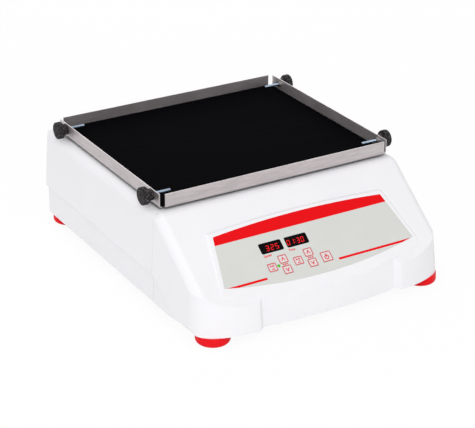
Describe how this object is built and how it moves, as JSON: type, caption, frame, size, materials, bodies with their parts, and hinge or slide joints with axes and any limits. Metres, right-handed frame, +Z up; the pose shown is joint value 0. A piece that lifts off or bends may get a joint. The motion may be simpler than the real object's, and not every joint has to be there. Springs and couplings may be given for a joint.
{
  "type": "reciprocating bench shaker",
  "caption": "Laboratory shaker with a flat flanged tray that slides side to side over a white moulded case with a sloping control panel, thumb screws and red feet.",
  "frame": {"origin": "centre of the bounding box on the bench surface", "axes": "+Z up, -Y towards the user and the control panel, +X to the user's right"},
  "size_m": [0.36, 0.434, 0.1557],
  "materials": {
    "housing": "satin white moulded plastic",
    "label": "light warm grey printed film",
    "window": "dark tinted display window",
    "module": "black display housing",
    "key": "light grey key film",
    "led": "green lens",
    "board": "green circuit board",
    "switch_metal": "small plated switch",
    "tray_steel": "brushed stainless sheet",
    "mat": "matt black rubber",
    "knob": "black moulded plastic",
    "stud": "bright turned steel",
    "insert": "turned brass",
    "feet": "red rubber",
    "fastener": "zinc plated",
    "chassis": "zinc plated sheet",
    "frame": "milled aluminium",
    "rod": "ground hard chromed",
    "bushing": "sintered bronze",
    "bearing": "polished bearing rings",
    "cast": "dark cast iron",
    "motor": "black painted can",
    "belt": "black neoprene",
    "component": "dark moulded components",
    "inlet": "black moulded plastic"
  },
  "bodies": {
    "case": {"rear_cover": "housing", "base_pan": "housing", "console_cover": "housing", "panel_overlay": "label", "display_windows": "window", "display_modules": "module", "control_board": "board", "tact_switches": "switch_metal", "status_led": "led", "chassis_plate": "chassis", "feet": "feet", "foot_screws": "fastener", "end_frames": "frame", "guide_rods": "rod", "bearing_housing": "frame", "crank_bearings": "bearing", "motor": "motor", "motor_bracket": "chassis", "drive_belt": "belt", "supply_board": "board", "supply_parts": "component", "power_inlet": "inlet", "inlet_pins": "switch_metal", "switch_frame": "inlet", "foot_nuts": "fastener", "case_screws": "fastener", "drive_screws": "fastener"},
    "carriage": {"bearing_blocks": "frame", "linear_bushings": "bushing", "carriage_plate": "frame", "tray_posts": "frame", "slotted_yoke": "frame", "tray": "tray_steel", "mat": "mat", "flange_inserts": "insert", "tray_screws": "fastener"},
    "crank": {"crank_disc": "frame", "crank_shaft": "rod", "crank_pin": "rod", "pin_roller": "bearing", "counterweight": "cast"},
    "motor_rotor": {"motor_shaft": "rod", "motor_pulley": "frame"},
    "thumb_screw_front_left": {"knob_front_left": "knob", "stud_front_left": "stud"},
    "thumb_screw_front_right": {"knob_front_right": "knob", "stud_front_right": "stud"},
    "thumb_screw_rear_left": {"knob_rear_left": "knob", "stud_rear_left": "stud"},
    "thumb_screw_rear_right": {"knob_rear_right": "knob", "stud_rear_right": "stud"},
    "key_speed_select_body": {"key_speed_select": "key"},
    "key_speed_up_body": {"key_speed_up": "key"},
    "key_speed_down_body": {"key_speed_down": "key"},
    "key_time_select_body": {"key_time_select": "key"},
    "key_time_up_body": {"key_time_up": "key"},
    "key_time_down_body": {"key_time_down": "key"},
    "key_start_body": {"key_start": "key"},
    "power_rocker": {"switch_rocker": "inlet"},
    "fuse_holder": {"fuse_drawer": "inlet"}
  },
  "joints": [
    {"name": "tray_slide", "type": "slide", "parent": "case", "child": "carriage", "axis": [1, 0, 0], "range_m": [-0.0095, 0.0095]},
    {"name": "crank_turn", "type": "hinge", "parent": "case", "child": "crank", "pos_m": [0, 0.0488, 0.083], "axis": [0, 0, 1], "range_deg": [-90, 90]},
    {"name": "motor_turn", "type": "hinge", "parent": "case", "child": "motor_rotor", "pos_m": [-0.1, 0.0488, 0.083], "axis": [0, 0, 1], "range_deg": [-270, 270]},
    {"name": "thumb_screw_front_left_slide", "type": "slide", "parent": "carriage", "child": "thumb_screw_front_left", "axis": [-1, 0, 0], "range_m": [0, 0.016]},
    {"name": "thumb_screw_front_right_slide", "type": "slide", "parent": "carriage", "child": "thumb_screw_front_right", "axis": [1, 0, 0], "range_m": [0, 0.016]},
    {"name": "thumb_screw_rear_left_slide", "type": "slide", "parent": "carriage", "child": "thumb_screw_rear_left", "axis": [-1, 0, 0], "range_m": [0, 0.016]},
    {"name": "thumb_screw_rear_right_slide", "type": "slide", "parent": "carriage", "child": "thumb_screw_rear_right", "axis": [1, 0, 0], "range_m": [0, 0.016]},
    {"name": "key_speed_select_press", "type": "slide", "parent": "case", "child": "key_speed_select_body", "axis": [0, 0.6115, -0.7912], "range_m": [0, 0.0004], "stiffness_N_per_m": 400},
    {"name": "key_speed_up_press", "type": "slide", "parent": "case", "child": "key_speed_up_body", "axis": [0, 0.6115, -0.7912], "range_m": [0, 0.0004], "stiffness_N_per_m": 400},
    {"name": "key_speed_down_press", "type": "slide", "parent": "case", "child": "key_speed_down_body", "axis": [0, 0.6115, -0.7912], "range_m": [0, 0.0004], "stiffness_N_per_m": 400},
    {"name": "key_time_select_press", "type": "slide", "parent": "case", "child": "key_time_select_body", "axis": [0, 0.6115, -0.7912], "range_m": [0, 0.0004], "stiffness_N_per_m": 400},
    {"name": "key_time_up_press", "type": "slide", "parent": "case", "child": "key_time_up_body", "axis": [0, 0.6115, -0.7912], "range_m": [0, 0.0004], "stiffness_N_per_m": 400},
    {"name": "key_time_down_press", "type": "slide", "parent": "case", "child": "key_time_down_body", "axis": [0, 0.6115, -0.7912], "range_m": [0, 0.0004], "stiffness_N_per_m": 400},
    {"name": "key_start_press", "type": "slide", "parent": "case", "child": "key_start_body", "axis": [0, 0.6115, -0.7912], "range_m": [0, 0.0004], "stiffness_N_per_m": 400},
    {"name": "power_rocker_tilt", "type": "hinge", "parent": "case", "child": "power_rocker", "pos_m": [0.052, 0.2088, 0.0342], "axis": [1, 0, 0], "range_deg": [0, 16]},
    {"name": "fuse_drawer_slide", "type": "slide", "parent": "case", "child": "fuse_holder", "axis": [0, 1, 0], "range_m": [0, 0.012]}
  ],
  "couplings": [
    {"joint": "crank_turn", "follows": "tray_slide", "rad_per_m": 165.35},
    {"joint": "motor_turn", "follows": "tray_slide", "rad_per_m": 496.04}
  ]
}
